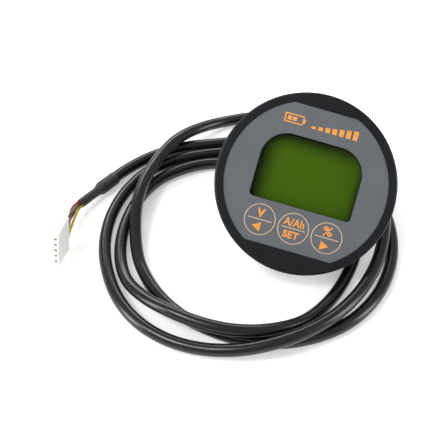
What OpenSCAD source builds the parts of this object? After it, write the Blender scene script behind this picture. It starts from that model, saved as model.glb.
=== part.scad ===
// Round panel display of a battery monitor, with its coiled lead and five-way plug.
// Millimetres, z up.  The display lies back on its own lead: its pieces are drawn about
// the axis of the bezel, z = 0 on the front of the rim, and on_gauge() tips them back.

/* [Front bezel] */
// Outside diameter of the bezel flange
bezel_d = 63; // [60:0.1:80]
// Thickness of the flange that stands in front of the panel
bezel_t = 3.5; // [2.8:0.1:6]
// Width of the bare rim round the label
rim_w = 3.1; // [2:0.1:6]
// Rounding of the rim's outer front edge
rim_fillet = 0.8; // [0.3:0.1:1.4]
// Thickness of the face wall behind the label
face_wall = 1.8; // [1.4:0.1:3]
// Length of the locating spigot behind the flange
spigot_len = 1.7; // [1:0.1:2]
// Wall thickness of the locating spigot
spigot_wall = 1.0; // [0.8:0.1:1.5]

/* [Label] */
// Thickness of the printed front label
label_t = 0.5; // [0.3:0.05:0.6]
// How far the label's face lies below the rim
label_inset = 0.3; // [0.1:0.05:0.6]
// Gap between the edge of the label and the bezel
label_gap = 0.1; // [0.05:0.05:0.3]
// Depth of the flat cut across the top of the label
label_top_cut = 2.3; // [1:0.1:4]
// Depth of the flat cut across the bottom of the label
label_low_cut = 4.5; // [2:0.1:6]

/* [Window and display] */
// Width of the display window
win_w = 36; // [28:0.1:37]
// Top edge of the window above the centre
win_top = 15.3; // [12:0.1:15.4]
// Bottom edge of the window below the centre
win_low = 8.8; // [5:0.1:9]
// Radius of the two upper window corners
win_top_r = 9.5; // [4:0.1:10]
// Radius of the two lower window corners
win_low_r = 1.5; // [1:0.1:3]
// Thickness of the clear window lens
lens_t = 1.0; // [0.6:0.1:1.2]
// Width of the ledge that the lens is glued to, at its top and sides
lens_lip = 1.2; // [0.8:0.1:1.3]
// Width of that ledge at the bottom, next to the keys
lens_low_lip = 0.5; // [0.4:0.1:0.6]
// Thickness of the liquid-crystal glass
lcd_t = 1.8; // [1.2:0.1:2.2]
// Thickness of the backlight behind the glass
light_t = 2.9; // [2.5:0.1:3.5]
// Wall thickness of the frame round the glass
frame_wall = 0.9; // [0.6:0.1:1]

/* [Keys] */
// Diameter of each key pad
key_d = 10.4; // [9:0.1:11]
// Web of label left between two keys
key_web = 1.5; // [0.8:0.1:2]
// Distance of the row of keys below the centre
key_drop = 16; // [15.8:0.1:17]
// Travel of each key
key_travel = 0.3; // [0.2:0.05:0.4]
// Gap round each key pad
key_gap = 0.2; // [0.15:0.05:0.3]
// Radius of the stem behind each key pad
stem_r = 2.6; // [1.5:0.1:2.7]
// Width of each key switch
switch_w = 4.5; // [3.5:0.1:4.6]
// Height of each key switch
switch_h = 1.9; // [1.5:0.1:2.2]

/* [Rear housing] */
// Outside diameter of the rear housing, which fills the hole in the panel
can_d = 52; // [52:0.1:56]
// Wall thickness of the rear housing
can_wall = 2; // [1.5:0.1:2]
// Length of the rear housing behind the flange
can_depth = 13.5; // [12:0.1:20]
// Thickness of the rear wall
floor_t = 1.8; // [1.5:0.1:3]
// Rounding of the rear edge
can_fillet = 1; // [0.5:0.1:1.5]

/* [Circuit board and fixings] */
// Thickness of the circuit board
board_t = 1.6; // [1.2:0.1:2]
// Gap between the edge of the board and the rear housing
board_gap = 0.6; // [0.4:0.1:1]
// Radius of the shank of each case screw
case_screw_r = 1.1; // [0.9:0.05:1.2]
// Radius of the shank of each board screw
board_screw_r = 0.95; // [0.7:0.05:1]

/* [Lead and plug] */
// Diameter of the lead
cable_d = 4.5; // [3:0.1:4.5]
// Length of the strain relief behind the rear housing
boot_len = 10; // [8:0.5:10]
// Diameter of each wire at the plug
wire_d = 1.05; // [0.8:0.05:1.1]
// Spacing of the ways of the plug
plug_pitch = 2.5; // [2.5:0.01:2.54]
// Thickness of the plug
plug_t = 3.8; // [3.6:0.05:6]
// Depth of the plug from its wire side to its mating face
plug_depth = 10.4; // [9:0.1:11]
// Material beyond the first and last way of the plug
plug_end = 2.4; // [2:0.1:3]

/* [Hidden] */
$fn = 72;

// How the display lies: tipped back from level, and turned about its own axis
tip = 40;
turn = -16;

// Radii of the bezel and the housing
bezel_r = bezel_d / 2;
can_r = can_d / 2;
can_in_r = can_r - can_wall;
label_r = bezel_r - rim_w;
spigot_r = can_in_r - 0.1;
board_r = can_in_r - board_gap;

// Gap in front of the glass, and how far the case bosses reach past the board
lcd_gap = 0.3;
boss_past_board = 2.4;

// Levels from the front of the rim towards the rear
recess_z = -label_inset - label_t;
wall_z = recess_z - face_wall;
flange_z = -bezel_t;
spigot_z = flange_z - spigot_len;
lcd_front_z = wall_z - lcd_gap;
lcd_rear_z = lcd_front_z - lcd_t;
board_front_z = lcd_rear_z - light_t;
board_rear_z = board_front_z - board_t;
boss_end_z = board_rear_z - boss_past_board;
can_rear_z = flange_z - can_depth;
floor_z = can_rear_z + floor_t;

// Keys: spacing, floor of the recess, and the stem down to the switch
key_step = key_d + key_web;
key_hole_r = key_d / 2 + key_gap;
key_floor_gap = 0.1;
key_floor_z = recess_z - key_travel - key_floor_gap;
stem_slack = 0.25;
well_depth = 0.8;
button_out = 0.75;
button_in = 0.4;
button_r = 1.2;
bore_slack = 0.2;
stem_end_z = board_front_z + switch_h + button_out;

// Growth of the glass outline over the window, and what lies along its lower edge
glass_grow = 1.0;
frame_slack = 0.1;
frame_grow = glass_grow + frame_slack + frame_wall;
light_cut = win_low + 0.05;
strip_top = light_cut + 0.05;
strip_h = 0.8;
strip_end = 2;

// Bosses for the case screws, and the posts that carry the board
boss_r = 2.1;
boss_spots = [[-7.6, 19.8], [7.6, 19.8], [0, -21.2]];
notch_r = boss_r + 0.35;
post_r = 1.8;
post_spots = [[0, 20.4], [-17, -13.1], [17, -13.1]];
pilot_slack = 0.05;
board_hole_slack = 0.15;
case_hole_slack = 0.2;
case_head_slack = 0.3;
pilot_end_z = wall_z - 1.4;
case_head_r = 2.0;
case_head_t = 1.3;
case_sink = 1.4;
case_post_r = 2.7;
board_head_r = 1.7;
board_head_t = 1.2;
board_screw_short = 0.5;
case_screw_short = 2;
cross_w = 0.5;
cross_depth = 0.6;

// Strain relief, on the axis of the lead's hole in the rear wall
exit_y = 8;
neck_r = 3.5;
neck_slack = 0.1;
collar_r = 4.75;
collar_t = 1.2;
boot_r = 4.2;
boot_tip_r = 3.0;
boot_bore_r = cable_d / 2 + 0.2;
inner_wire_r = 0.5;
inner_wire_ring = 1.0;
lead_end_z = -15;

// Height and place of the display so that it stands on its rear edge, centred in y
face_z = (can_r - can_fillet) * sin(tip) - (can_rear_z + can_fillet) * cos(tip) + can_fillet;
rear_y = (can_r - can_fillet) * cos(tip) - (can_rear_z + can_fillet) * sin(tip) + can_fillet;
front_y = (bezel_r - rim_fillet) * cos(tip) - rim_fillet * sin(tip) + rim_fillet;
face_y = (front_y - rear_y) / 2;

// Centre line of the lead, from inside the housing to the end of its jacket
cable_r = cable_d / 2;
cable_route = [
    [2.2, 12.25, 22.55], [2.2, 19.95, 13.6], [0.6, 24.5, 8.3], [-4.6, 28.3, 4.2],
    [-12.5, 30.6, 2.3], [-23, 32.2, 2.3], [-34, 32.5, 2.3], [-45, 29.2, 2.3],
    [-54.5, 22.5, 2.3], [-61, 12.5, 2.3], [-64.8, 0, 2.3], [-65.4, -12.5, 2.3],
    [-62.5, -24, 3], [-56, -33, 5.2], [-47, -40.3, 7.3], [-36, -45.6, 7.6],
    [-24.5, -48.4, 7.5], [-12.5, -47.6, 6.6], [-1, -42.3, 4], [8.5, -32.8, 2.4],
    [15.5, -21.5, 2.3], [20, -9, 2.3], [21.2, 4, 2.3], [18.2, 17, 2.3],
    [11, 28.5, 2.3], [1, 36, 2.3], [-11, 39.2, 2.3], [-23, 38.9, 2.3],
    [-35, 37.7, 2.3], [-46.5, 34.6, 2.3], [-57.3, 28.4, 2.3], [-65.2, 18.3, 2.3],
    [-70, 6, 2.3], [-71.4, -7, 2.3], [-69.6, -19.5, 2.3], [-64.8, -31.8, 2.3],
    [-57, -41.9, 2.3], [-46.5, -49, 2.4], [-34.5, -53, 3.2], [-22, -54.3, 5.2],
    [-9.5, -52.5, 7.3], [2, -47.2, 7.4], [12, -39.4, 6.8], [20.5, -29, 6.5],
    [26.6, -17, 6.5], [30, -4, 6.9], [31.2, 9, 7.5], [30, 21.5, 6.6],
    [26, 33.5, 4.2], [19, 44.5, 2.5], [9.5, 52.8, 2.3], [-2.5, 57.8, 2.3],
    [-15, 59.2, 2.3], [-27.5, 56.2, 2.7], [-38, 49.8, 5], [-46.5, 41, 7.5],
    [-53, 31, 7.6], [-58, 19, 7.6], [-60.4, 7, 6.6], [-60.3, -5, 3.8],
    [-58, -17, 2.3], [-52.2, -28.6, 2.3], [-44, -37.8, 2.3], [-33.5, -44.5, 2.3],
    [-22, -48.6, 2.3], [-9.5, -49.8, 2.3], [3, -47.4, 2.3], [14.5, -41.6, 2.3],
    [24, -32, 2.3], [30.3, -20, 2.3], [33, -7, 2.3], [32.2, 6.5, 2.3],
    [27.6, 19.5, 2.3], [19.2, 31, 2.3], [8, 39.8, 2.3], [-5, 44.4, 2.3],
    [-18.5, 44.8, 2.3], [-32, 43.4, 2.3], [-45, 41.4, 2.3], [-57, 36.2, 2.3],
    [-67, 28.4, 2.4], [-75, 18.6, 3.2]];

// Heat-shrink sleeve: where it starts, its heading, and its lengths along the lead
sleeve_start = [-70.3, 24.4, 2.7];
sleeve_yaw = -129.2;
sleeve_pitch = 3.6;
sleeve_wall = 0.25;
sleeve_wide_r = cable_r + 0.05;
sleeve_wide_len = 8.5;
sleeve_taper_end = 10;
sleeve_len = 18.6;
jacket_end = 7.5;
bundle_r = 1.0;
sleeve_thin_r = bundle_r + wire_d / 2 + 0.02;

// Plug: the corner it stands on, its turn, tip and roll, and its cavities
plug_spot = [-84.6, -8.4, 0];
plug_yaw = 168;
plug_tip = 12;
plug_roll = -4;
plug_ways = 5;
plug_row = 2 * plug_end + (plug_ways - 1) * plug_pitch;
plug_rib = 0.5;
way_x = 1.15;
mouth_w = 0.9;
mouth_len = 2.2;
cavity_w = 1.5;
cavity_h = 1.8;
crimp_start = 1.6;
wire_steps = 14;
wire_straight = 0.6;

// Places the children at the display
module on_gauge() {
    translate([0, face_y, face_z])
    rotate([tip, 0, 0])
    rotate([0, 0, turn])
    children();
}

// Copies the children to each of the spots
module at_spots(spots) {
    for (spot = spots)
        translate([spot[0], spot[1], 0])
        children();
}

// Upright cylinder between two levels
module disc(r, low, high) {
    translate([0, 0, low])
    cylinder(r = r, h = high - low);
}

// Plate with the outline of the window, grown all round, between two levels
module window_plate(grow, low_grow, low, high) {
    half = win_w / 2 + grow;
    top = win_top + grow;
    base = -win_low - low_grow;
    top_r = win_top_r + grow;
    low_r = win_low_r + grow;
    translate([0, 0, low])
    linear_extrude(high - low) {
        polygon([[-half, base + low_r], [-half + low_r, base], [half - low_r, base],
            [half, base + low_r], [half, top - top_r], [half - top_r, top],
            [-half + top_r, top], [-half, top - top_r]]);
        for (s = [-1, 1]) {
            translate([s * (half - top_r), top - top_r])
            circle(r = top_r);
            translate([s * (half - low_r), base + low_r])
            circle(r = low_r);
        }
    }
}

// Disc of the label's outline with its two flats, between two levels
module label_plate(grow, low, high) {
    r = label_r + grow;
    top = label_r - label_top_cut + grow;
    base = -label_r + label_low_cut - grow;
    intersection() {
        disc(r, low, high);
        translate([-r - 1, base, low - 1])
        cube([2 * r + 2, top - base, high - low + 2]);
    }
}

// Head with a cross recess and a shank, both along z, the head to the rear
module screw(head_r, head_t, shank_r, seat, tip_z) {
    difference() {
        disc(head_r, seat - head_t, seat);
        for (a = [0, 90])
            rotate([0, 0, a])
            translate([-head_r * 0.6, -cross_w / 2, seat - head_t - 1])
            cube([head_r * 1.2, cross_w, cross_depth + 1]);
    }
    disc(shank_r, seat, tip_z);
}

// Place of one key in the row, from the left
function key_spot(index) = [(index - 1) * key_step, -key_drop, 0];

// Tube swept along a list of points, its rings upright to the path
function unit(v) = v / norm(v);
function heading(path, i) = unit(path[min(i + 1, len(path) - 1)] - path[max(i - 1, 0)]);
function across(t) = unit(cross(t, [0, 0, 1]));
function ring(p, t, r, n) = [for (j = [0 : n - 1])
    p + r * cos(360 * j / n) * across(t) + r * sin(360 * j / n) * cross(across(t), t)];
function rings(path, r, n) = [for (i = [0 : len(path) - 1]) each ring(path[i], heading(path, i), r, n)];
function skin(m, n) = [for (i = [0 : m - 2]) for (j = [0 : n - 1]) each [
    [i * n + j, i * n + (j + 1) % n, (i + 1) * n + (j + 1) % n],
    [i * n + j, (i + 1) * n + (j + 1) % n, (i + 1) * n + j]]];
function caps(m, n) = [[for (j = [0 : n - 1]) n - 1 - j], [for (j = [0 : n - 1]) (m - 1) * n + j]];

module tube(path, r, n) {
    polyhedron(points = rings(path, r, n),
        faces = concat(skin(len(path), n), caps(len(path), n)), convexity = 10);
}

// A point of the sleeve at a distance along it, off its axis by an angle and a radius
function sleeve_along() = [cos(sleeve_yaw) * cos(sleeve_pitch),
    sin(sleeve_yaw) * cos(sleeve_pitch), sin(sleeve_pitch)];
function sleeve_point(s, angle, off) = sleeve_start + s * sleeve_along()
    + off * cos(angle) * across(sleeve_along())
    + off * sin(angle) * cross(across(sleeve_along()), sleeve_along());

// A point of the plug's own frame: in from its plain side, from wire side to mating
// face, and up the row
function rolled(p) = [p[0] * cos(plug_roll) + p[2] * sin(plug_roll), p[1],
    p[2] * cos(plug_roll) - p[0] * sin(plug_roll)];
function tipped(p) = [p[0], p[1] * cos(plug_tip) - p[2] * sin(plug_tip),
    p[1] * sin(plug_tip) + p[2] * cos(plug_tip)];
function yawed(p) = [p[0] * cos(plug_yaw) - p[1] * sin(plug_yaw),
    p[0] * sin(plug_yaw) + p[1] * cos(plug_yaw), p[2]];
function way_z(way) = plug_end + way * plug_pitch;
function way_point(way, depth) = plug_spot + yawed(tipped(rolled([way_x, depth, way_z(way)])));

// Places the children at the plug
module at_plug() {
    translate(plug_spot)
    rotate([0, 0, plug_yaw])
    rotate([plug_tip, 0, 0])
    rotate([0, plug_roll, 0])
    children();
}

// A wire: straight in the sleeve, one easy bend across to its way, straight in the plug.
// It holds its heading for lead_out after the sleeve and for lead_in before the plug.
function bend(a, b, c, d, t) = pow(1 - t, 3) * a + 3 * pow(1 - t, 2) * t * b
    + 3 * (1 - t) * t * t * c + t * t * t * d;
function wire_path(angle, way, lead_out, lead_in) = concat(
    [sleeve_point(jacket_end, angle, bundle_r)],
    [for (k = [0 : wire_steps]) bend(sleeve_point(sleeve_len, angle, bundle_r),
        sleeve_point(sleeve_len + lead_out, angle, bundle_r),
        way_point(way, -lead_in), way_point(way, -wire_straight), k / wire_steps)],
    [way_point(way, crimp_start)]);

module wire(angle, way, lead_out, lead_in) {
    tube(wire_path(angle, way, lead_out, lead_in), wire_d / 2, 8);
}

// Front of the unit: flange, recessed face, window, key recesses, spigot, bosses and posts
module front_bezel() {
    color("#1b1c1e")
    on_gauge()
    difference() {
        union() {
            difference() {
                union() {
                    rotate_extrude() {
                        translate([0, flange_z])
                        square([bezel_r, bezel_t - rim_fillet]);
                        translate([0, flange_z])
                        square([bezel_r - rim_fillet, bezel_t]);
                        translate([bezel_r - rim_fillet, -rim_fillet])
                        circle(r = rim_fillet);
                    }
                    disc(spigot_r, spigot_z, flange_z + 0.1);
                }
                disc(spigot_r - spigot_wall, spigot_z - 1, wall_z);
            }
            at_spots(boss_spots)
            disc(boss_r, boss_end_z, wall_z + 0.1);
            at_spots(post_spots)
            disc(post_r, board_front_z, wall_z + 0.1);
        }
        label_plate(label_gap, recess_z, 1);
        window_plate(lens_lip + label_gap, lens_low_lip + label_gap, recess_z - lens_t, recess_z + 1);
        window_plate(0, 0, wall_z - 1, recess_z);
        for (k = [0 : 2])
            translate(key_spot(k)) {
                disc(key_hole_r, key_floor_z, 1);
                disc(stem_r + stem_slack, wall_z - 1, 0);
            }
        at_spots(boss_spots)
        disc(case_screw_r + pilot_slack, boss_end_z - 1, pilot_end_z);
        at_spots(post_spots)
        disc(board_screw_r + pilot_slack, board_front_z - 1, pilot_end_z);
    }
}

// Printed overlay in the recess, open at the window and the keys
module label() {
    color("#70747c")
    on_gauge()
    difference() {
        label_plate(0, recess_z, -label_inset);
        window_plate(0, 0, recess_z - 1, 1);
        for (k = [0 : 2])
            translate(key_spot(k))
            disc(key_hole_r, recess_z - 1, 1);
    }
}

// Clear lens on its ledge behind the label
module window_lens() {
    color("#c8d0c8", 0.3)
    on_gauge()
    window_plate(lens_lip, lens_low_lip, recess_z - lens_t, recess_z);
}

// One key pad, level with the label
module key_pad(index) {
    color("#70747c")
    on_gauge()
    translate(key_spot(index))
    disc(key_d / 2, recess_z, -label_inset);
}

// One stem, from the pad down to the switch
module key_stem(index) {
    color("#2b2c2e")
    on_gauge()
    translate(key_spot(index))
    disc(stem_r, stem_end_z, recess_z);
}

// The plunger of one key switch
module switch_button(index) {
    color("#1d1d1d")
    on_gauge()
    translate(key_spot(index))
    disc(button_r, stem_end_z - button_out - button_in, stem_end_z);
}

// The body of one key switch, with a well for its plunger
module switch_body(index) {
    color("#b9bbbd")
    on_gauge()
    translate(key_spot(index))
    difference() {
        translate([-switch_w / 2, -switch_w / 2, board_front_z])
        cube([switch_w, switch_w, switch_h]);
        disc(button_r + bore_slack, board_front_z + switch_h - well_depth, board_front_z + switch_h + 1);
    }
}

module left_key_pad() { key_pad(0); }
module middle_key_pad() { key_pad(1); }
module right_key_pad() { key_pad(2); }
module left_key_stem() { key_stem(0); }
module middle_key_stem() { key_stem(1); }
module right_key_stem() { key_stem(2); }
module left_switch_button() { switch_button(0); }
module middle_switch_button() { switch_button(1); }
module right_switch_button() { switch_button(2); }
module left_switch_body() { switch_body(0); }
module middle_switch_body() { switch_body(1); }
module right_switch_body() { switch_body(2); }

// Liquid-crystal glass
module lcd_glass() {
    color("#3f6110")
    on_gauge()
    window_plate(glass_grow, glass_grow, lcd_rear_z, lcd_front_z);
}

// Light guide between the glass and the board, above the contact strip
module backlight() {
    color("#e8ead8")
    on_gauge()
    intersection() {
        window_plate(glass_grow, glass_grow, board_front_z, lcd_rear_z);
        translate([-can_r, -light_cut, board_front_z - 1])
        cube([2 * can_r, can_d, light_t + 2]);
    }
}

// Rubber contact strip from the glass to the board
module lcd_strip() {
    color("#d58a9a")
    on_gauge()
    translate([strip_end - win_w / 2, -strip_top - strip_h, board_front_z])
    cube([win_w - 2 * strip_end, strip_h, light_t]);
}

// Frame that holds the glass and the backlight against the face wall
module lcd_frame() {
    color("#202124")
    on_gauge()
    difference() {
        window_plate(frame_grow, frame_grow, board_front_z, wall_z);
        window_plate(glass_grow + frame_slack, glass_grow + frame_slack, board_front_z - 1, wall_z + 1);
    }
}

// Round board, open at the case bosses
module circuit_board() {
    color("#1c5a36")
    on_gauge()
    difference() {
        disc(board_r, board_rear_z, board_front_z);
        at_spots(boss_spots)
        disc(notch_r, board_rear_z - 1, board_front_z + 1);
        at_spots(post_spots)
        disc(board_screw_r + board_hole_slack, board_rear_z - 1, board_front_z + 1);
    }
}

// Body and leads of the main chip
module main_chip() {
    spot = [-7.5, -4];
    body = 9;
    lead = 1;
    lead_w = 0.3;
    lead_t = 0.4;
    lead_pitch = 0.7;
    lift = 0.1;
    thick = 1.4;
    color("#26272a")
    on_gauge()
    translate([spot[0], spot[1], board_rear_z]) {
        translate([-body / 2, -body / 2, -thick - lift])
        cube([body, body, thick]);
        for (a = [0 : 90 : 270])
            rotate([0, 0, a])
            for (i = [-5 : 5])
                translate([i * lead_pitch - lead_w / 2, body / 2 - 0.1, -lead_t])
                cube([lead_w, lead + 0.1, lead_t]);
    }
}

// Small chip with leads on two sides
module driver_chip() {
    spot = [7.5, -12];
    long = 5;
    wide = 4;
    thick = 1.3;
    lift = 0.1;
    lead = 1;
    lead_w = 0.4;
    lead_pitch = 1.27;
    color("#26272a")
    on_gauge()
    translate([spot[0], spot[1], board_rear_z]) {
        translate([-long / 2, -wide / 2, -thick - lift])
        cube([long, wide, thick]);
        for (s = [-1, 1])
            for (i = [-1.5 : 1.5])
                translate([i * lead_pitch - lead_w / 2, s * (wide + lead) / 2 - lead / 2 - s * 0.1, -lead_w])
                cube([lead_w, lead, lead_w]);
    }
}

// Two upright electrolytic capacitors
module capacitors() {
    spots = [[14.5, 7.5], [14.5, -0.5]];
    radius = 2.5;
    tall = 5.2;
    color("#c3c5c8")
    on_gauge()
    at_spots(spots)
    disc(radius, board_rear_z - tall, board_rear_z);
}

// Timing crystal in its long metal can
module crystal() {
    spot = [-13, 7.5];
    half = 3.6;
    end_r = 1.9;
    tall = 3.2;
    color("#d0d2d4")
    on_gauge()
    translate([spot[0], spot[1], 0]) {
        for (s = [-1, 1])
            translate([s * half, 0, 0])
            disc(end_r, board_rear_z - tall, board_rear_z);
        translate([-half, -end_r, board_rear_z - tall])
        cube([2 * half, 2 * end_r, tall]);
    }
}

// The three screws that hold the board to its posts
module board_screws() {
    color("#b4b6b8")
    on_gauge()
    at_spots(post_spots)
    screw(board_head_r, board_head_t, board_screw_r, board_rear_z, pilot_end_z - board_screw_short);
}

// Round housing behind the panel, with hollow screw posts and the lead's hole
module rear_housing() {
    color("#202123")
    on_gauge()
    difference() {
        union() {
            difference() {
                rotate_extrude() {
                    translate([0, can_rear_z + can_fillet])
                    square([can_r, can_depth - can_fillet]);
                    translate([0, can_rear_z])
                    square([can_r - can_fillet, can_depth]);
                    translate([can_r - can_fillet, can_rear_z + can_fillet])
                    circle(r = can_fillet);
                }
                disc(can_in_r, floor_z, flange_z + 1);
            }
            at_spots(boss_spots)
            disc(case_post_r, floor_z - 0.1, boss_end_z - 0.1);
        }
        at_spots(boss_spots) {
            disc(case_screw_r + case_hole_slack, can_rear_z - 1, boss_end_z + 1);
            disc(case_head_r + case_head_slack, can_rear_z - 1, can_rear_z + case_sink);
        }
        translate([0, exit_y, 0])
        disc(neck_r + neck_slack, can_rear_z - 1, floor_z + 1);
    }
}

// The three screws that hold the rear housing
module case_screws() {
    color("#8e9092")
    on_gauge()
    at_spots(boss_spots)
    screw(case_head_r, case_head_t, case_screw_r, can_rear_z + case_sink, pilot_end_z - case_screw_short);
}

// Strain relief: collar inside, neck through the rear wall, tapering boot outside
module cable_grommet() {
    color("#1d1d1f")
    on_gauge()
    translate([0, exit_y, 0])
    difference() {
        union() {
            disc(collar_r, floor_z, floor_z + collar_t);
            disc(neck_r, can_rear_z - 0.1, floor_z + 0.1);
            translate([0, 0, can_rear_z - boot_len])
            cylinder(r1 = boot_tip_r, r2 = boot_r, h = boot_len);
        }
        disc(boot_bore_r, can_rear_z - boot_len - 1, floor_z + collar_t + 1);
    }
}

// Five wires from the end of the lead to the board
module inner_wires() {
    color("#b03a30")
    on_gauge()
    translate([0, exit_y, 0])
    for (a = [0 : 72 : 288])
        rotate([0, 0, a])
        translate([inner_wire_ring, 0, 0])
        disc(inner_wire_r, lead_end_z, board_rear_z);
}

// The lead itself
module cable() {
    color("#161617")
    tube(cable_route, cable_r, 10);
}

// Heat-shrink sleeve, wide over the jacket and narrow over the wires
module cable_sleeve() {
    color("#1f1f20")
    translate(sleeve_start)
    rotate([0, 90 - sleeve_pitch, sleeve_yaw])
    rotate_extrude()
    polygon([[sleeve_wide_r, 0], [sleeve_wide_r + sleeve_wall, 0],
        [sleeve_wide_r + sleeve_wall, sleeve_wide_len], [sleeve_thin_r + sleeve_wall, sleeve_taper_end],
        [sleeve_thin_r + sleeve_wall, sleeve_len], [sleeve_thin_r, sleeve_len],
        [sleeve_thin_r, sleeve_taper_end], [sleeve_wide_r, sleeve_wide_len]]);
}

// The five wires, from the top way of the plug to the bottom one
module black_wire() {
    color("#1a1a1a")
    wire(118, 4, 3, 7);
}

module red_wire() {
    color("#b3231c")
    wire(46, 3, 7, 8);
}

module blue_wire() {
    color("#1c2030")
    wire(262, 2, 7, 4);
}

module yellow_wire() {
    color("#d9b400")
    wire(190, 1, 4, 8);
}

module white_wire() {
    color("#e6e6e2")
    wire(334, 0, 9, 9);
}

// Plug housing with five stepped cavities, and two polarising ribs on its far side
module plug_housing() {
    rib_h = 1.2;
    rib_start = 2.4;
    rib_in = 0.9;
    color("#eeece4")
    at_plug()
    difference() {
        union() {
            cube([plug_t - plug_rib, plug_depth, plug_row]);
            for (z = [rib_in, plug_row - rib_in - rib_h])
                translate([plug_t - plug_rib - 0.1, rib_start, z])
                cube([plug_rib + 0.1, plug_depth - rib_start, rib_h]);
        }
        for (way = [0 : plug_ways - 1])
            translate([way_x, 0, way_z(way)]) {
                translate([-cavity_w / 2, -1, -cavity_h / 2])
                cube([cavity_w, plug_depth - mouth_len + 1, cavity_h]);
                translate([-mouth_w / 2, 0, -mouth_w / 2])
                cube([mouth_w, plug_depth + 1, mouth_w]);
            }
    }
}

// Five crimp contacts, one in each cavity
module plug_contacts() {
    box_w = 1.3;
    hole = 0.8;
    color("#c9a95a")
    at_plug()
    for (way = [0 : plug_ways - 1])
        translate([way_x, 0, way_z(way)])
        difference() {
            translate([-box_w / 2, crimp_start, -box_w / 2])
            cube([box_w, plug_depth - mouth_len - crimp_start, box_w]);
            translate([-hole / 2, crimp_start + 1.5, -hole / 2])
            cube([hole, plug_depth, hole]);
        }
}

front_bezel();
label();
window_lens();
left_key_pad();
middle_key_pad();
right_key_pad();
left_key_stem();
middle_key_stem();
right_key_stem();
left_switch_button();
middle_switch_button();
right_switch_button();
left_switch_body();
middle_switch_body();
right_switch_body();
lcd_glass();
backlight();
lcd_strip();
lcd_frame();
circuit_board();
main_chip();
driver_chip();
capacitors();
crystal();
board_screws();
rear_housing();
case_screws();
cable_grommet();
inner_wires();
cable();
cable_sleeve();
black_wire();
red_wire();
blue_wire();
yellow_wire();
white_wire();
plug_housing();
plug_contacts();
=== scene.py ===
import bpy, bmesh
from math import sin, cos, pi, radians
from mathutils import Matrix, Vector


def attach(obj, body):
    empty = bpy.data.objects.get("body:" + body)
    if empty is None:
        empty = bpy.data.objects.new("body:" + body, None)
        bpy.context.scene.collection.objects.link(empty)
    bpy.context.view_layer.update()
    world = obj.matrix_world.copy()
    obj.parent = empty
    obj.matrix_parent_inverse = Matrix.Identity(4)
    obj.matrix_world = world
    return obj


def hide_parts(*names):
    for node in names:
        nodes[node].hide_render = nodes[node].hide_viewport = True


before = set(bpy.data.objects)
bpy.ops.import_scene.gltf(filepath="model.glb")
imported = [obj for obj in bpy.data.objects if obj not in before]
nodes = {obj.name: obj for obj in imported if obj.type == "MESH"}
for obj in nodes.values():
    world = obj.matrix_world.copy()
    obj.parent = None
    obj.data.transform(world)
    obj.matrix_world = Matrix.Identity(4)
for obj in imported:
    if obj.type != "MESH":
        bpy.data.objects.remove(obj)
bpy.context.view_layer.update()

# --- Camera and studio --------------------------------------------------------------
# A long lens a quarter of a metre off, looking steeply down on the display, over a
# plain pale sweep lit by soft boxes above, behind and low at either side.
camera_data = bpy.data.cameras.new("camera")
camera_data.lens = 68.06
camera_data.sensor_width = 36
camera_data.clip_start = 0.01
camera = bpy.data.objects.new("camera", camera_data)
camera.location = (-0.02811, -0.20022, 0.24261)
camera.rotation_euler = (radians(40), 0, 0)
bpy.context.collection.objects.link(camera)
bpy.context.scene.camera = camera
bpy.context.scene.view_settings.view_transform = "Standard"


def soft_box(name, place, size, watts):
    """A rectangular lamp that faces the origin."""
    data = bpy.data.lights.new(name, "AREA")
    data.shape = "RECTANGLE"
    data.size, data.size_y = size
    data.energy = watts
    lamp = bpy.data.objects.new(name, data)
    lamp.location = place
    lamp.rotation_euler = (-Vector(place)).to_track_quat("-Z", "Y").to_euler()
    bpy.context.collection.objects.link(lamp)


soft_box("top_box", (-0.50, -0.22, 0.84), (0.24, 0.24), 3.2)
soft_box("back_box", (-0.15, 0.65, 0.50), (0.7, 0.25), 3.0)
soft_box("left_box", (-0.75, -0.20, 0.25), (0.2, 0.6), 3.5)
soft_box("right_box", (0.75, -0.20, 0.25), (0.2, 0.6), 2.5)

world = bpy.data.worlds.new("studio")
bpy.context.scene.world = world
world.use_nodes = True
sky = world.node_tree.nodes["Background"]
sky.inputs["Color"].default_value = (0.95, 0.97, 1.0, 1)
sky.inputs["Strength"].default_value = 0.52

FLOOR_HALF = 2
FLOOR_Z = -0.0002
floor_mesh = bpy.data.meshes.new("floor")
corners = [(x * FLOOR_HALF, y * FLOOR_HALF, FLOOR_Z) for x, y in ((-1, -1), (1, -1), (1, 1), (-1, 1))]
floor_mesh.from_pydata(corners, [], [(0, 1, 2, 3)])
floor = bpy.data.objects.new("floor", floor_mesh)
bpy.context.collection.objects.link(floor)
paper = bpy.data.materials.new("paper_sweep")
paper.use_nodes = True
sheet = paper.node_tree.nodes["Principled BSDF"]
sheet.inputs["Base Color"].default_value = (0.93, 0.93, 0.93, 1)
sheet.inputs["Roughness"].default_value = 0.9
sheet.inputs["Emission Color"].default_value = (1, 1, 1, 1)
sheet.inputs["Emission Strength"].default_value = 0.35
floor_mesh.materials.append(paper)

# --- The lead -----------------------------------------------------------------------
# A round PVC-jacketed control lead, 4.5 mm thick and about a metre long, as it lies:
# three and a third turns under and round the display, and out to the left.
LEAD_R = 0.00225
LEAD_SIDES = 20
ROUTE_PARTS = 7
OFF_FLOOR = 0.00002
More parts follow.
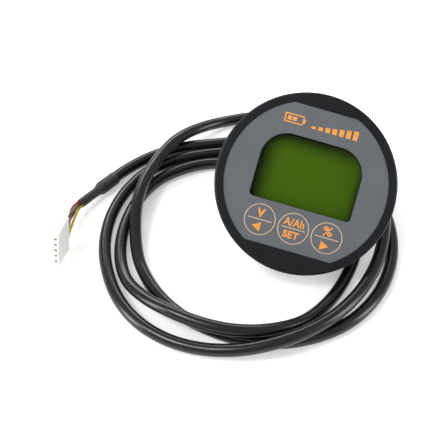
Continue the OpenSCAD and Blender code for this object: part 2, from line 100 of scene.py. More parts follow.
# Centre line in millimetres, from inside the housing to the end of the jacket
LEAD_ROUTE = [
    (2.2, 12.25, 22.55), (2.2, 19.95, 13.6), (0.6, 24.5, 8.3), (-4.6, 28.3, 4.2),
    (-12.5, 30.6, 2.3), (-23, 32.2, 2.3), (-34, 32.5, 2.3), (-45, 29.2, 2.3),
    (-54.5, 22.5, 2.3), (-61, 12.5, 2.3), (-64.8, 0, 2.3), (-65.4, -12.5, 2.3),
    (-62.5, -24, 3), (-56, -33, 5.2), (-47, -40.3, 7.3), (-36, -45.6, 7.6),
    (-24.5, -48.4, 7.5), (-12.5, -47.6, 6.6), (-1, -42.3, 4), (8.5, -32.8, 2.4),
    (15.5, -21.5, 2.3), (20, -9, 2.3), (21.2, 4, 2.3), (18.2, 17, 2.3),
    (11, 28.5, 2.3), (1, 36, 2.3), (-11, 39.2, 2.3), (-23, 38.9, 2.3),
    (-35, 37.7, 2.3), (-46.5, 34.6, 2.3), (-57.3, 28.4, 2.3), (-65.2, 18.3, 2.3),
    (-70, 6, 2.3), (-71.4, -7, 2.3), (-69.6, -19.5, 2.3), (-64.8, -31.8, 2.3),
    (-57, -41.9, 2.3), (-46.5, -49, 2.4), (-34.5, -53, 3.2), (-22, -54.3, 5.2),
    (-9.5, -52.5, 7.3), (2, -47.2, 7.4), (12, -39.4, 6.8), (20.5, -29, 6.5),
    (26.6, -17, 6.5), (30, -4, 6.9), (31.2, 9, 7.5), (30, 21.5, 6.6),
    (26, 33.5, 4.2), (19, 44.5, 2.5), (9.5, 52.8, 2.3), (-2.5, 57.8, 2.3),
    (-15, 59.2, 2.3), (-27.5, 56.2, 2.7), (-38, 49.8, 5), (-46.5, 41, 7.5),
    (-53, 31, 7.6), (-58, 19, 7.6), (-60.4, 7, 6.6), (-60.3, -5, 3.8),
    (-58, -17, 2.3), (-52.2, -28.6, 2.3), (-44, -37.8, 2.3), (-33.5, -44.5, 2.3),
    (-22, -48.6, 2.3), (-9.5, -49.8, 2.3), (3, -47.4, 2.3), (14.5, -41.6, 2.3),
    (24, -32, 2.3), (30.3, -20, 2.3), (33, -7, 2.3), (32.2, 6.5, 2.3),
    (27.6, 19.5, 2.3), (19.2, 31, 2.3), (8, 39.8, 2.3), (-5, 44.4, 2.3),
    (-18.5, 44.8, 2.3), (-32, 43.4, 2.3), (-45, 41.4, 2.3), (-57, 36.2, 2.3),
    (-67, 28.4, 2.4), (-75, 18.6, 3.2)]


def smooth_route(points, parts):
    """A Catmull-Rom line through the points, never lower than the lead's own radius."""
    line = [Vector(p) / 1000 for p in points]
    line = [2 * line[0] - line[1]] + line + [2 * line[-1] - line[-2]]
    out = []
    for a, b, c, d in zip(line, line[1:], line[2:], line[3:]):
        for k in range(parts):
            t = k / parts
            out.append(0.5 * (2 * b + (c - a) * t + (2 * a - 5 * b + 4 * c - d) * t * t
                              + (3 * b - a - 3 * c + d) * t ** 3))
    out.append(line[-2].copy())
    for p in out:
        p.z = max(p.z, LEAD_R + OFF_FLOOR)
    return out


def new_piece(name, verts, faces, smooth=True):
    mesh = bpy.data.meshes.new(name)
    mesh.from_pydata(verts, [], faces)
    mesh.validate()
    if smooth:
        mesh.polygons.foreach_set("use_smooth", [True] * len(mesh.polygons))
    made = bpy.data.objects.new(name, mesh)
    bpy.context.collection.objects.link(made)
    return made


def hose(name, line, radius, sides):
    """A closed tube along a line, with a UV map that runs round it and, in centimetres, along it."""
    verts, faces = [], []
    run = [0.0]
    for a, b in zip(line, line[1:]):
        run.append(run[-1] + (b - a).length)
    for i, p in enumerate(line):
        t = (line[min(i + 1, len(line) - 1)] - line[max(i - 1, 0)]).normalized()
        side = t.cross(Vector((0, 0, 1))).normalized()
        up = side.cross(t)
        for j in range(sides):
            a = 2 * pi * j / sides
            verts.append(p + radius * cos(a) * side + radius * sin(a) * up)
    for i in range(len(line) - 1):
        for j in range(sides):
            k = (j + 1) % sides
            faces.append((i * sides + j, (i + 1) * sides + j, (i + 1) * sides + k, i * sides + k))
    faces.append(tuple(range(sides)))
    faces.append(tuple(range(len(verts) - 1, len(verts) - 1 - sides, -1)))
    tube = new_piece(name, verts, faces)
    uv = tube.data.uv_layers.new(name="run").data
    for face in tube.data.polygons[:-2]:
        for corner, vert in zip(face.loop_indices, face.vertices):
            i, j = divmod(vert, sides)
            wrap = 1.0 if j == 0 and max(v % sides for v in face.vertices) == sides - 1 else 0.0
            uv[corner].uv = (j / sides + wrap, run[i] * 100)
    return tube


def finish_of(name, colour, roughness, **more):
    """A Principled finish with its even values on the shader's own sockets."""
    made = bpy.data.materials.new(name)
    made.use_nodes = True
    shader = made.node_tree.nodes["Principled BSDF"]
    shader.inputs["Base Color"].default_value = (*colour, 1)
    shader.inputs["Roughness"].default_value = roughness
    for key, value in more.items():
        shader.inputs[key.replace("_", " ")].default_value = value
    return made, made.node_tree, shader


def grained(tree, shader, scale, height, distance, low, high, vector=None):
    """Fine grain: noise in the surface's height, and in its roughness between two values."""
    add, link = tree.nodes.new, tree.links.new
    if vector is None:
        vector = add("ShaderNodeTexCoord").outputs["Object"]
    noise = add("ShaderNodeTexNoise")
    noise.inputs["Scale"].default_value = scale
    noise.inputs["Detail"].default_value = 3
    link(vector, noise.inputs["Vector"])
    bump = add("ShaderNodeBump")
    bump.inputs["Strength"].default_value = height
    bump.inputs["Distance"].default_value = distance
    link(noise.outputs["Fac"], bump.inputs["Height"])
    link(bump.outputs["Normal"], shader.inputs["Normal"])
    span = add("ShaderNodeMapRange")
    span.inputs["To Min"].default_value = low
    span.inputs["To Max"].default_value = high
    link(noise.outputs["Fac"], span.inputs["Value"])
    link(span.outputs["Result"], shader.inputs["Roughness"])


def mottled(tree, shader, scale, one, two):
    """Slow patches between two shades."""
    add, link = tree.nodes.new, tree.links.new
    place = add("ShaderNodeTexCoord")
    noise = add("ShaderNodeTexNoise")
    noise.inputs["Scale"].default_value = scale
    link(place.outputs["Object"], noise.inputs["Vector"])
    ramp = add("ShaderNodeValToRGB")
    ramp.color_ramp.elements[0].position = 0.35
    ramp.color_ramp.elements[1].position = 0.65
    ramp.color_ramp.elements[0].color = (*one, 1)
    ramp.color_ramp.elements[1].color = (*two, 1)
    link(noise.outputs["Fac"], ramp.inputs["Fac"])
    link(ramp.outputs["Color"], shader.inputs["Base Color"])


lead_line = smooth_route(LEAD_ROUTE, ROUTE_PARTS)
lead = hose("lead_jacket", lead_line, LEAD_R, LEAD_SIDES)
jacket, tree, shader = finish_of("black_pvc_jacket", (0.005, 0.005, 0.006), 0.24, Specular_IOR_Level=0.5)
run = tree.nodes.new("ShaderNodeUVMap")
run.uv_map = "run"
stretch = tree.nodes.new("ShaderNodeMapping")
stretch.inputs["Scale"].default_value = (30, 0.6, 1)
tree.links.new(run.outputs["UV"], stretch.inputs["Vector"])
grained(tree, shader, 3.0, 0.05, 0.0001, 0.19, 0.29, stretch.outputs["Vector"])
mottled(tree, shader, 60, (0.004, 0.004, 0.005), (0.008, 0.008, 0.009))
lead.data.materials.append(jacket)
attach(lead, "unit")
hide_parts("cable")

# --- Heat-shrink sleeve -------------------------------------------------------------
# Polyolefin tube shrunk over the end of the jacket and, narrower, over the bundle of
# wires, which shows through it as soft lobes.
SLEEVE_START = Vector((-70.3, 24.4, 2.7)) / 1000
SLEEVE_YAW = radians(-129.2)
SLEEVE_PITCH = radians(3.6)
SLEEVE_SIDES = 50
WIRE_COUNT = 5
LOBE_TURN = radians(18)
# Depth, waves round the sleeve and waves along it
WRINKLES = ((0.00003, 3, 900), (0.00002, 7, 2300))
sleeve_dir = Vector((
    cos(SLEEVE_YAW) * cos(SLEEVE_PITCH), sin(SLEEVE_YAW) * cos(SLEEVE_PITCH), sin(SLEEVE_PITCH)))
sleeve_side = sleeve_dir.cross(Vector((0, 0, 1))).normalized()
sleeve_up = sleeve_side.cross(sleeve_dir)


def sleeve_ring(s, radius, lobes):
    """One round of the sleeve, with a lobe over each wire."""
    ring = []
    for j in range(SLEEVE_SIDES):
        a = 2 * pi * j / SLEEVE_SIDES
        r = radius + lobes * (0.5 + 0.5 * cos(WIRE_COUNT * (a - LOBE_TURN))) - lobes
        for depth, around, along in WRINKLES:
            r += depth * sin(around * a + along * s)
        ring.append(SLEEVE_START + s * sleeve_dir + r * (cos(a) * sleeve_side + sin(a) * sleeve_up))
    return ring


# Distance along the sleeve, radius and depth of the lobes, in millimetres
OUTSIDE = [
    (0.0, 2.40, 0), (0.05, 2.52, 0), (0.25, 2.56, 0), (1.0, 2.54, 0), (2.5, 2.53, 0),
    (4.0, 2.56, 0.02), (5.5, 2.54, 0), (6.8, 2.56, 0), (7.6, 2.54, 0.02), (8.1, 2.44, 0.05),
    (8.6, 2.22, 0.08), (9.2, 1.98, 0.12), (9.8, 1.84, 0.14), (10.6, 1.80, 0.15), (12.0, 1.80, 0.16),
    (14.0, 1.80, 0.16), (16.0, 1.80, 0.15), (17.6, 1.80, 0.14), (18.4, 1.80, 0.12),
    (18.58, 1.77, 0.10), (18.6, 1.66, 0.08)]
INSIDE = [(18.6, 1.56, 0), (10.0, 1.56, 0), (8.5, 2.28, 0), (0.0, 2.28, 0)]
stations = OUTSIDE + INSIDE
verts, faces = [], []
for s, r, lobes in stations:
    verts += sleeve_ring(s / 1000, r / 1000, lobes / 1000)
for i in range(len(stations)):
    n = (i + 1) % len(stations)
    for j in range(SLEEVE_SIDES):
        k = (j + 1) % SLEEVE_SIDES
        faces.append((i * SLEEVE_SIDES + j, n * SLEEVE_SIDES + j, n * SLEEVE_SIDES + k, i * SLEEVE_SIDES + k))
sleeve = new_piece("heat_shrink_sleeve", verts, faces)
shrink, tree, shader = finish_of("shrunk_film", (0.022, 0.022, 0.022), 0.5)
grained(tree, shader, 900, 0.25, 0.0001, 0.42, 0.60)
mottled(tree, shader, 500, (0.018, 0.018, 0.018), (0.034, 0.034, 0.033))
sleeve.data.materials.append(shrink)
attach(sleeve, "unit")
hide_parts("cable_sleeve")

# --- Wires --------------------------------------------------------------------------
# Five thin PVC-insulated wires, each crimped into its own way of the plug: black, red,
# dark blue, yellow and white from the top. One tree sweeps every wire along its curve.
PLUG_SPOT = Vector((-84.6, -8.4, 0)) / 1000
plug_place = (Matrix.Translation(PLUG_SPOT) @ Matrix.Rotation(radians(168), 4, "Z")
              @ Matrix.Rotation(radians(12), 4, "X") @ Matrix.Rotation(radians(-4), 4, "Y"))
WAY_X = 0.00115
WAY_PITCH = 0.0025
FIRST_WAY_Z = 0.0024
WIRE_R = 0.000525
WIRE_STEP = 0.0004
BUNDLE_R = 0.001
# Where the wires start in the sleeve, leave the sleeve, enter the plug and end in it
IN_SLEEVE = 0.0075
SLEEVE_END = 0.0186
PLUG_MOUTH = -0.0006
IN_PLUG = 0.0016
BEND_STEPS = 24


def wire_tree():
    """Sweeps a round wire along the curve it is given."""
    tree = bpy.data.node_groups.new("insulated_wire", "GeometryNodeTree")
    tree.is_modifier = True
    face = tree.interface
    face.new_socket("Geometry", in_out="INPUT", socket_type="NodeSocketGeometry")
    radius = face.new_socket("Wire radius", in_out="INPUT", socket_type="NodeSocketFloat")
    spacing = face.new_socket("Ring spacing", in_out="INPUT", socket_type="NodeSocketFloat")
    cover = face.new_socket("Insulation", in_out="INPUT", socket_type="NodeSocketMaterial")
    face.new_socket("Geometry", in_out="OUTPUT", socket_type="NodeSocketGeometry")
    add, link = tree.nodes.new, tree.links.new
    inputs, outputs = add("NodeGroupInput"), add("NodeGroupOutput")
    even = add("GeometryNodeResampleCurve")
    even.mode = "LENGTH"
    round_profile = add("GeometryNodeCurvePrimitiveCircle")
    round_profile.inputs["Resolution"].default_value = 16
    sweep = add("GeometryNodeCurveToMesh")
    sweep.inputs["Fill Caps"].default_value = True
    smooth = add("GeometryNodeSetShadeSmooth")
    solid = add("GeometryNodeRealizeInstances")
    dress = add("GeometryNodeSetMaterial")
    link(inputs.outputs["Geometry"], even.inputs["Curve"])
    link(inputs.outputs["Ring spacing"], even.inputs["Length"])
    link(inputs.outputs["Wire radius"], round_profile.inputs["Radius"])
    link(even.outputs["Curve"], sweep.inputs["Curve"])
    link(round_profile.outputs["Curve"], sweep.inputs["Profile Curve"])
    link(sweep.outputs["Mesh"], smooth.inputs["Geometry"])
    link(smooth.outputs["Geometry"], solid.inputs["Geometry"])
    link(solid.outputs["Geometry"], dress.inputs["Geometry"])
    link(inputs.outputs["Insulation"], dress.inputs["Material"])
    link(dress.outputs["Geometry"], outputs.inputs["Geometry"])
    return tree, radius.identifier, spacing.identifier, cover.identifier


def applied(source, name):
    """The source's finished shape as a plain mesh in its place."""
    bpy.context.view_layer.update()
    graph = bpy.context.evaluated_depsgraph_get()
    mesh = bpy.data.meshes.new_from_object(source.evaluated_get(graph), depsgraph=graph)
    bpy.data.objects.remove(source)
    mesh.name = name
    made = bpy.data.objects.new(name, mesh)
    bpy.context.collection.objects.link(made)
    return made


def grown(name, source, tree, values):
    """What a tree makes of the source, as a plain mesh."""
    modifier = source.modifiers.new("build", "NODES")
    modifier.node_group = tree
    for key, value in values.items():
        modifier[key] = value
    return applied(source, name)


def insulation(name, colour, darker):
    """Glossy extruded PVC in slightly uneven colour."""
    made, tree, shader = finish_of(name, colour, 0.32)
    grained(tree, shader, 2500, 0.10, 0.00005, 0.26, 0.38)
    mottled(tree, shader, 400, colour, darker)
    return made


wire_build, wire_radius, wire_spacing, wire_cover = wire_tree()
# Name, angle in the bundle, way of the plug, straight length at either end in millimetres, colours
for name, angle, way, lead_out, lead_in, colour, darker in [
        ("black", 118, 4, 3, 7, (0.010, 0.010, 0.012), (0.016, 0.016, 0.018)),
        ("red", 46, 3, 7, 8, (0.42, 0.010, 0.014), (0.36, 0.008, 0.012)),
        ("blue", 262, 2, 7, 4, (0.010, 0.012, 0.024), (0.014, 0.018, 0.034)),
        ("yellow", 190, 1, 4, 8, (0.62, 0.50, 0.03), (0.55, 0.43, 0.02)),
        ("white", 334, 0, 9, 9, (0.78, 0.78, 0.76), (0.72, 0.72, 0.70))]:
    across = BUNDLE_R * (cos(radians(angle)) * sleeve_side + sin(radians(angle)) * sleeve_up)
    z = FIRST_WAY_Z + WAY_PITCH * way
    a = SLEEVE_START + SLEEVE_END * sleeve_dir + across
    b = a + lead_out / 1000 * sleeve_dir
    c = plug_place @ Vector((WAY_X, -lead_in / 1000, z))
    d = plug_place @ Vector((WAY_X, PLUG_MOUTH, z))
    line = [SLEEVE_START + IN_SLEEVE * sleeve_dir + across]
    for k in range(BEND_STEPS + 1):
        t = k / BEND_STEPS
        line.append((1 - t) ** 3 * a + 3 * (1 - t) ** 2 * t * b + 3 * (1 - t) * t * t * c + t ** 3 * d)
    line.append(plug_place @ Vector((WAY_X, IN_PLUG, z)))
    curve = bpy.data.curves.new(name + "_line", "CURVE")
    curve.dimensions = "3D"
    spline = curve.splines.new("POLY")
    spline.points.add(len(line) - 1)
    for point, at in zip(spline.points, line):
        point.co = (*at, 1)
    track = bpy.data.objects.new(name + "_line", curve)
    bpy.context.collection.objects.link(track)
    cover = insulation(name + "_insulation", colour, darker)
    sizes = {wire_radius: WIRE_R, wire_spacing: WIRE_STEP, wire_cover: cover}
    wire = grown(name + "_insulated_wire", track, wire_build, sizes)
    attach(wire, "unit")
    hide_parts(name + "_wire")

# --- Plug ---------------------------------------------------------------------------
# Natural nylon housing, moulded in one piece at 2.5 mm pitch, with five crimp contacts
# of tinned strip locked in its ways.
MERGE_WITHIN = 2e-6
FLAT_WITHIN = radians(1)
BROKEN_FROM = radians(30)
CREASED_FROM = radians(50)
EDGE_STEPS = 3


def softened(node, name, edge):
    """A merged copy of a CAD node with its sharp edges broken by a small round."""
    mesh = nodes[node].data.copy()
    mesh.name = name
    mesh.materials.clear()
    work = bmesh.new()
    work.from_mesh(mesh)
    bmesh.ops.remove_doubles(work, verts=work.verts, dist=MERGE_WITHIN)
    bmesh.ops.dissolve_limit(work, angle_limit=FLAT_WITHIN, verts=work.verts, edges=work.edges)
    work.to_mesh(mesh)
    work.free()
    rough = bpy.data.objects.new(name + "_rough", mesh)
    bpy.context.collection.objects.link(rough)
    bevel = rough.modifiers.new("edge", "BEVEL")
    bevel.width = edge
    bevel.segments = EDGE_STEPS
    bevel.limit_method = "ANGLE"
    bevel.angle_limit = BROKEN_FROM
    bevel.use_clamp_overlap = True
    done = applied(rough, name)
    done.data.polygons.foreach_set("use_smooth", [True] * len(done.data.polygons))
    done.data.set_sharp_from_angle(angle=CREASED_FROM)
    flat = done.modifiers.new("flat", "WEIGHTED_NORMAL")
    flat.keep_sharp = True
    flat.weight = 80
    return applied(done, name)


def redress(node, material):
    """A CAD node in its own shape, with this finish only."""
    nodes[node].data.materials.clear()
    nodes[node].data.materials.append(material)


plug = softened("plug_housing", "nylon_plug", 0.00012)
nylon, tree, shader = finish_of("natural_nylon", (0.72, 0.72, 0.68), 0.38, Subsurface_Weight=0.25)
shader.inputs["Subsurface Radius"].default_value = (0.6, 0.55, 0.4)
shader.inputs["Subsurface Scale"].default_value = 0.001
grained(tree, shader, 1800, 0.08, 0.00005, 0.32, 0.44)
mottled(tree, shader, 250, (0.70, 0.70, 0.66), (0.75, 0.75, 0.72))
plug.data.materials.append(nylon)
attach(plug, "unit")
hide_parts("plug_housing")

tin, tree, shader = finish_of("tinned_strip", (0.72, 0.70, 0.64), 0.3, Metallic=1.0)
grained(tree, shader, 3000, 0.10, 0.00005, 0.24, 0.40)
redress("plug_contacts", tin)

# --- Bezel and rear housing ---------------------------------------------------------
# Two black ABS mouldings: a turned-looking bezel with a satin face and a cup behind the
# panel, both with the same fine spark-eroded texture.
bezel = softened("front_bezel", "bezel_moulding", 0.00012)
housing = softened("rear_housing", "rear_cup", 0.00015)
abs_black, tree, shader = finish_of("satin_black_abs", (0.008, 0.008, 0.009), 0.38, Specular_IOR_Level=0.25)
grained(tree, shader, 2200, 0.18, 0.00006, 0.32, 0.46)
mottled(tree, shader, 120, (0.007, 0.007, 0.008), (0.011, 0.011, 0.012))
for piece, node in ((bezel, "front_bezel"), (housing, "rear_housing")):
    piece.data.materials.append(abs_black)
    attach(piece, "unit")
    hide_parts(node)

# --- Label and key pads -------------------------------------------------------------
# Polyester overlay, printed blue-grey from behind and stuck to the bezel, with a round
# pad let into it at each key.
KEYS = ("left", "middle", "right")
label = softened("label", "printed_overlay", 0.00008)
film, tree, shader = finish_of("blue_grey_overlay", (0.122, 0.130, 0.140), 0.5, Specular_IOR_Level=0.3)
grained(tree, shader, 3500, 0.10, 0.00004, 0.44, 0.56)
mottled(tree, shader, 90, (0.118, 0.126, 0.136), (0.126, 0.135, 0.145))
label.data.materials.append(film)
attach(label, "unit")
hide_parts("label")
for side in KEYS:
    pad = softened(f"{side}_key_pad", f"{side}_pad_film", 0.00008)
    pad.data.materials.append(film)
    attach(pad, f"key_{side}")
    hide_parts(f"{side}_key_pad")

# --- Print on the label -------------------------------------------------------------
# Opaque inks a few hundredths thick: a ring over the slit round each pad, which stays
# with the label, a battery mark with charge bars, and the lines and legends of the keys.
display_place = (Matrix.Translation((0, -0.003316, 0.029326)) @ Matrix.Rotation(radians(40), 4, "X")
                 @ Matrix.Rotation(radians(-16), 4, "Z"))
INK_LOW = -0.00031
INK_HIGH = -0.00027
KEY_X = 0.0119
KEY_Y = -0.016
KEY_R = 0.0052
KEY_GAP = 0.0002
RING_WIDTH = 0.00036
RING_SIDES = 96


def ink(name, colour, darker):
    """A dull screen-printed ink."""
    made, tree, shader = finish_of(name, colour, 0.45)
    grained(tree, shader, 4000, 0.06, 0.00003, 0.40, 0.52)
    mottled(tree, shader, 700, colour, darker)
    return made


orange = ink("orange_ink", (0.90, 0.35, 0.055), (0.84, 0.31, 0.045))
tan = ink("tan_ink", (0.60, 0.42, 0.27), (0.55, 0.38, 0.24))


def printed(name, outlines, material, body):
    """Flat ink in the shape of closed outlines in millimetres on the label."""
    verts, faces = [], []
    for outline in outlines:
        base, n = len(verts), len(outline)
        verts += [display_place @ Vector((x / 1000, y / 1000, INK_HIGH)) for x, y in outline]
        verts += [display_place @ Vector((x / 1000, y / 1000, INK_LOW)) for x, y in outline]
        faces.append(tuple(range(base, base + n)))
        faces.append(tuple(range(base + 2 * n - 1, base + n - 1, -1)))
        faces += [(base + j, base + n + j, base + n + (j + 1) % n, base + (j + 1) % n) for j in range(n)]
    made = new_piece(name, verts, faces, smooth=False)
    made.data.materials.append(material)
    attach(made, body)


def ring_tree():
    """Sweeps a flat ring of ink and sets a copy of it at each key of the row."""
    tree = bpy.data.node_groups.new("key_rings", "GeometryNodeTree")
    tree.is_modifier = True
    face = tree.interface
    face.new_socket("Geometry", in_out="INPUT", socket_type="NodeSocketGeometry")
    names = {}
    for title, kind in (("Ring radius", "Float"), ("Line width", "Float"), ("Ink thickness", "Float"),
                        ("Keys", "Int"), ("Key spacing", "Float"), ("Ink", "Material")):
        socket = face.new_socket(title, in_out="INPUT", socket_type="NodeSocket" + kind)
        names[title] = socket.identifier
    face.new_socket("Geometry", in_out="OUTPUT", socket_type="NodeSocketGeometry")
    add, link = tree.nodes.new, tree.links.new
    inputs, outputs = add("NodeGroupInput"), add("NodeGroupOutput")
    circle = add("GeometryNodeCurvePrimitiveCircle")
    circle.inputs["Resolution"].default_value = RING_SIDES
    strip = add("GeometryNodeCurvePrimitiveQuadrilateral")
    sweep = add("GeometryNodeCurveToMesh")
    row = add("GeometryNodeMeshLine")
    step = add("ShaderNodeCombineXYZ")
    copies = add("GeometryNodeInstanceOnPoints")
    solid = add("GeometryNodeRealizeInstances")
    dress = add("GeometryNodeSetMaterial")
    link(inputs.outputs["Ring radius"], circle.inputs["Radius"])
    link(inputs.outputs["Line width"], strip.inputs["Width"])
    link(inputs.outputs["Ink thickness"], strip.inputs["Height"])
    link(circle.outputs["Curve"], sweep.inputs["Curve"])
    link(strip.outputs["Curve"], sweep.inputs["Profile Curve"])
    link(inputs.outputs["Keys"], row.inputs["Count"])
    link(inputs.outputs["Key spacing"], step.inputs["X"])
    link(step.outputs["Vector"], row.inputs["Offset"])
    link(row.outputs["Mesh"], copies.inputs["Points"])
    link(sweep.outputs["Mesh"], copies.inputs["Instance"])
    link(copies.outputs["Instances"], solid.inputs["Geometry"])
    link(solid.outputs["Geometry"], dress.inputs["Geometry"])
    link(inputs.outputs["Ink"], dress.inputs["Material"])
    link(dress.outputs["Geometry"], outputs.inputs["Geometry"])
    return tree, names


ring_build, ring_input = ring_tree()
seed_mesh = bpy.data.meshes.new("ring_seed")
seed = bpy.data.objects.new("ring_seed", seed_mesh)
bpy.context.collection.objects.link(seed)
rings = grown("key_rings", seed, ring_build, {
    ring_input["Ring radius"]: KEY_R + KEY_GAP / 2,
    ring_input["Line width"]: RING_WIDTH,
    ring_input["Ink thickness"]: INK_HIGH - INK_LOW,
    ring_input["Keys"]: len(KEYS),
    ring_input["Key spacing"]: KEY_X,
    ring_input["Ink"]: tan})
rings.data.transform(display_place @ Matrix.Translation((-KEY_X, KEY_Y, (INK_LOW + INK_HIGH) / 2)))
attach(rings, "unit")


def legend(name, words, x, y, width, height, bold, body):
    """A key's own plain legend, centred at a point of the label, all in millimetres."""
    text = bpy.data.curves.new(name, "FONT")
    text.body = words
    text.size = height / 1000
    text.extrude = (INK_HIGH - INK_LOW) / 2
    text.offset = bold / 1000
    text.space_character = 1.08
    source = bpy.data.objects.new(name + "_text", text)
    bpy.context.collection.objects.link(source)
    made = applied(source, name)
    xs = [v.co.x for v in made.data.vertices]
    ys = [v.co.y for v in made.data.vertices]
    wide = width / 1000 / (max(xs) - min(xs))
    high = height / 1000 / (max(ys) - min(ys))
    made.data.transform(Matrix.Translation((-(min(xs) + max(xs)) / 2, -(min(ys) + max(ys)) / 2, 0)))
    made.data.transform(Matrix.Diagonal((wide, high, 1, 1)))
    made.data.transform(display_place @ Matrix.Translation((x / 1000, y / 1000, (INK_LOW + INK_HIGH) / 2)))
    made.data.materials.clear()
    made.data.materials.append(orange)
    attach(made, body)


def bar(x0, y0, x1, y1):
    """The outline of an upright rectangle between two corners."""
    return [(x0, y0), (x1, y0), (x1, y1), (x0, y1)]


LINE_HALF = 4.2
LINE_HALF_WIDTH = 0.18
for index, side in enumerate(KEYS):
    x = (index - 1) * KEY_X * 1000
    y = KEY_Y * 1000
    line = bar(x - LINE_HALF, y - LINE_HALF_WIDTH, x + LINE_HALF, y + LINE_HALF_WIDTH)
    printed(f"{side}_divider", [line], tan, f"key_{side}")

# Centre across and up, width, height and how much bolder, in millimetres
for name, words, x, y, width, height, bold, body in (
        ("volts_legend", "V", -12.1, -13.7, 2.9, 3.1, 0.13, "key_left"),
        ("amps_legend", "A/Ah", -0.2, -13.9, 7.2, 2.8, 0.08, "key_middle"),
        ("set_legend", "SET", -0.3, -18.3, 5.6, 2.6, 0.10, "key_middle"),
        ("charge_legend", "%", 11.7, -13.6, 3.4, 3.3, 0.06, "key_right")):
    legend(name, words, x, y, width, height, bold, body)
printed("left_arrow", [[(-14.1, -18.5), (-11.1, -20.1), (-11.1, -16.9)]], orange, "key_left")
printed("right_arrow", [[(13.3, -18.8), (10.3, -17.2), (10.3, -20.4)]], orange, "key_right")

# The battery's case, its terminal and two cells, then seven bars that rise to the right
MARK_LEFT = -13.4
MARK_RIGHT = -6.6
MARK_LOW = 18.8
MARK_HIGH = 22.0
MARK_LINE = 0.4
MARK_END_LINE = 0.5
CELL_LOW = 19.7
CELL_HIGH = 21.1
CELL_WIDTH = 1.4
TERMINAL_OUT = 0.6
BARS = 7
BARS_LEFT = -3.6
BAR_STEP = 2.45
BAR_WIDTH = 1.6
BAR_FIRST = 0.8
BAR_RISE = 0.4
case_left = MARK_LEFT + MARK_END_LINE
mark = [
    bar(MARK_LEFT, MARK_LOW, case_left, MARK_HIGH),
    bar(case_left, MARK_HIGH - MARK_LINE, MARK_RIGHT, MARK_HIGH),
    bar(case_left, MARK_LOW, MARK_RIGHT, MARK_LOW + MARK_LINE),
    bar(MARK_RIGHT - MARK_LINE, MARK_LOW + MARK_LINE, MARK_RIGHT, MARK_HIGH - MARK_LINE),
    bar(MARK_RIGHT, CELL_LOW, MARK_RIGHT + TERMINAL_OUT, CELL_HIGH)]
for cell_left in (-12.3, -10.5):
    mark.append(bar(cell_left, CELL_LOW, cell_left + CELL_WIDTH, CELL_HIGH))
for k in range(BARS):
    left = BARS_LEFT + BAR_STEP * k
    mark.append(bar(left, MARK_LOW, left + BAR_WIDTH, MARK_LOW + BAR_FIRST + BAR_RISE * k))
printed("battery_mark", mark, orange, "unit")

# --- Window and display -------------------------------------------------------------
# A clear acrylic lens behind the label, and under it an unlit green liquid-crystal
# glass in its black frame, with painted shade darkening the glass towards the window's edges.
acrylic, tree, shader = finish_of(
    "clear_acrylic", (0.01, 0.012, 0.01), 0.05, Alpha=0.08, Specular_IOR_Level=0.35)
grained(tree, shader, 300, 0.02, 0.00005, 0.03, 0.08)
redress("window_lens", acrylic)

# The glass's own green, and the painted shade it is darkened to near the window's edges
LCD_BRIGHT = (0.065, 0.148, 0.0024)
LCD_PAINTED_SHADE = (0.014, 0.018, 0.003)
# Painted shade at each edge of the window: the axis on the display, where it is dark and where it is bright,
# in millimetres
LCD_PAINTED_SHADE_EDGES = (("X", -18.8, -10.0), ("X", 19.5, 15.5), ("Y", 16.4, 8.8), ("Y", -10.4, -7.6))
green, tree, shader = finish_of("green_lcd_painted_edge_shade", LCD_BRIGHT, 0.35, Specular_IOR_Level=0.05)
place = tree.nodes.new("ShaderNodeTexCoord")
onto_face = tree.nodes.new("ShaderNodeMapping")
onto_face.vector_type = "TEXTURE"
onto_face.inputs["Location"].default_value = display_place.to_translation()
onto_face.inputs["Rotation"].default_value = display_place.to_euler()
onto_face.inputs["Scale"].default_value = (0.001, 0.001, 0.001)
tree.links.new(place.outputs["Object"], onto_face.inputs["Vector"])
split = tree.nodes.new("ShaderNodeSeparateXYZ")
tree.links.new(onto_face.outputs["Vector"], split.inputs["Vector"])
lit = None
for axis, painted_shade_at, painted_shade_gone_at in LCD_PAINTED_SHADE_EDGES:
    edge = tree.nodes.new("ShaderNodeMapRange")
    edge.interpolation_type = "SMOOTHSTEP"
    edge.inputs["From Min"].default_value = painted_shade_at
    edge.inputs["From Max"].default_value = painted_shade_gone_at
    tree.links.new(split.outputs[axis], edge.inputs["Value"])
    if lit is None:
        lit = edge.outputs["Result"]
    else:
        both = tree.nodes.new("ShaderNodeMath")
        both.operation = "MULTIPLY"
        tree.links.new(lit, both.inputs[0])
        tree.links.new(edge.outputs["Result"], both.inputs[1])
        lit = both.outputs["Value"]
# Painted shade: from dark at the window's edges to the glass's own green inside them
painted_shade_ramp = tree.nodes.new("ShaderNodeValToRGB")
painted_shade_ramp.color_ramp.elements[0].color = (*LCD_PAINTED_SHADE, 1)
painted_shade_ramp.color_ramp.elements[1].color = (*LCD_BRIGHT, 1)
tree.links.new(lit, painted_shade_ramp.inputs["Fac"])
tree.links.new(painted_shade_ramp.outputs["Color"], shader.inputs["Base Color"])
grained(tree, shader, 600, 0.02, 0.00003, 0.32, 0.40)
redress("lcd_glass", green)

# --- Inside the housing -------------------------------------------------------------
# Backlight, contact strip, board, chips, switches and inner wires, hidden once the
# housing is screwed on, and the zinc-plated screws that hold the board and the housing.
guide, tree, shader = finish_of("light_guide_acrylic", (0.80, 0.82, 0.68), 0.4)
grained(tree, shader, 1500, 0.05, 0.00005, 0.35, 0.45)
redress("backlight", guide)

zebra, tree, shader = finish_of("pink_contact_rubber", (0.62, 0.26, 0.30), 0.6)
grained(tree, shader, 4000, 0.15, 0.00005, 0.5, 0.7)
redress("lcd_strip", zebra)

inner_black, tree, shader = finish_of("smooth_black_moulding", (0.02, 0.02, 0.022), 0.42)
grained(tree, shader, 2500, 0.08, 0.00005, 0.36, 0.48)
redress("lcd_frame", inner_black)
for side in KEYS:
    redress(f"{side}_key_stem", inner_black)
    redress(f"{side}_switch_button", inner_black)

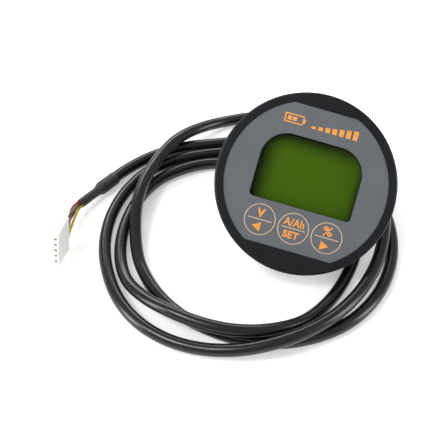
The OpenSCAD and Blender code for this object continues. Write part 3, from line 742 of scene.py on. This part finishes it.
mask, tree, shader = finish_of("green_solder_resist", (0.018, 0.10, 0.035), 0.3)
grained(tree, shader, 1200, 0.06, 0.00005, 0.24, 0.36)
mottled(tree, shader, 300, (0.016, 0.095, 0.032), (0.022, 0.12, 0.042))
redress("circuit_board", mask)

epoxy, tree, shader = finish_of("moulded_epoxy", (0.03, 0.03, 0.033), 0.55)
grained(tree, shader, 3500, 0.12, 0.00005, 0.48, 0.62)
redress("main_chip", epoxy)
redress("driver_chip", epoxy)

drawn, tree, shader = finish_of("drawn_metal_can", (0.75, 0.75, 0.77), 0.25, Metallic=1.0)
grained(tree, shader, 1800, 0.05, 0.00005, 0.20, 0.34)
redress("capacitors", drawn)
redress("crystal", drawn)
for side in KEYS:
    redress(f"{side}_switch_body", drawn)

zinc, tree, shader = finish_of("bright_zinc", (0.60, 0.60, 0.62), 0.3, Metallic=1.0)
grained(tree, shader, 2500, 0.08, 0.00005, 0.24, 0.40)
redress("board_screws", zinc)
redress("case_screws", zinc)

core, tree, shader = finish_of("red_core_insulation", (0.42, 0.010, 0.014), 0.35)
grained(tree, shader, 2500, 0.08, 0.00005, 0.30, 0.42)
redress("inner_wires", core)

# --- Strain relief ------------------------------------------------------------------
# A soft PVC boot moulded in the rear wall, tapering along the lead, with five grooves
# that let it bend evenly.
EXIT_Y = 0.008
BOOT_SIDES = 64
# Radii and places along the display's axis, in millimetres
BORE_R = 2.45
TIP_R = 3.0
ROOT_R = 4.2
NECK_R = 3.5
FLANGE_R = 4.75
TIP_Z = -27.0
ROOT_Z = -17.0
NECK_TOP_Z = -15.2
FLANGE_TOP_Z = -14.0
GROOVES = 5
FIRST_GROOVE_Z = -25.6
GROOVE_STEP = 1.75
GROOVE_DEPTH = 0.42
profile = [(BORE_R, TIP_Z), (TIP_R - 0.1, TIP_Z), (TIP_R, TIP_Z + 0.15)]
for k in range(GROOVES):
    z = FIRST_GROOVE_Z + GROOVE_STEP * k
    r = TIP_R + (ROOT_R - TIP_R) * (z - TIP_Z) / (ROOT_Z - TIP_Z)
    profile += [(r, z - 0.45), (r - 0.05, z - 0.38), (r - GROOVE_DEPTH, z - 0.3),
                (r - GROOVE_DEPTH, z + 0.3), (r, z + 0.38), (r + 0.05, z + 0.45)]
profile += [(ROOT_R - 0.05, ROOT_Z - 0.3), (ROOT_R, ROOT_Z - 0.15), (ROOT_R, ROOT_Z), (NECK_R, ROOT_Z),
            (NECK_R, NECK_TOP_Z), (FLANGE_R, NECK_TOP_Z), (FLANGE_R, FLANGE_TOP_Z), (BORE_R, FLANGE_TOP_Z)]
verts, faces = [], []
for r, z in profile:
    for j in range(BOOT_SIDES):
        a = 2 * pi * j / BOOT_SIDES
        verts.append(display_place @ Vector((r * cos(a) / 1000, EXIT_Y + r * sin(a) / 1000, z / 1000)))
for i in range(len(profile)):
    n = (i + 1) % len(profile)
    for j in range(BOOT_SIDES):
        k = (j + 1) % BOOT_SIDES
        faces.append((i * BOOT_SIDES + j, i * BOOT_SIDES + k, n * BOOT_SIDES + k, n * BOOT_SIDES + j))
boot = new_piece("lead_boot", verts, faces)
boot.data.set_sharp_from_angle(angle=radians(35))
soft_pvc, tree, shader = finish_of("soft_black_pvc", (0.015, 0.015, 0.016), 0.45)
grained(tree, shader, 1500, 0.12, 0.00006, 0.40, 0.54)
boot.data.materials.append(soft_pvc)
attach(boot, "unit")
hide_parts("cable_grommet")
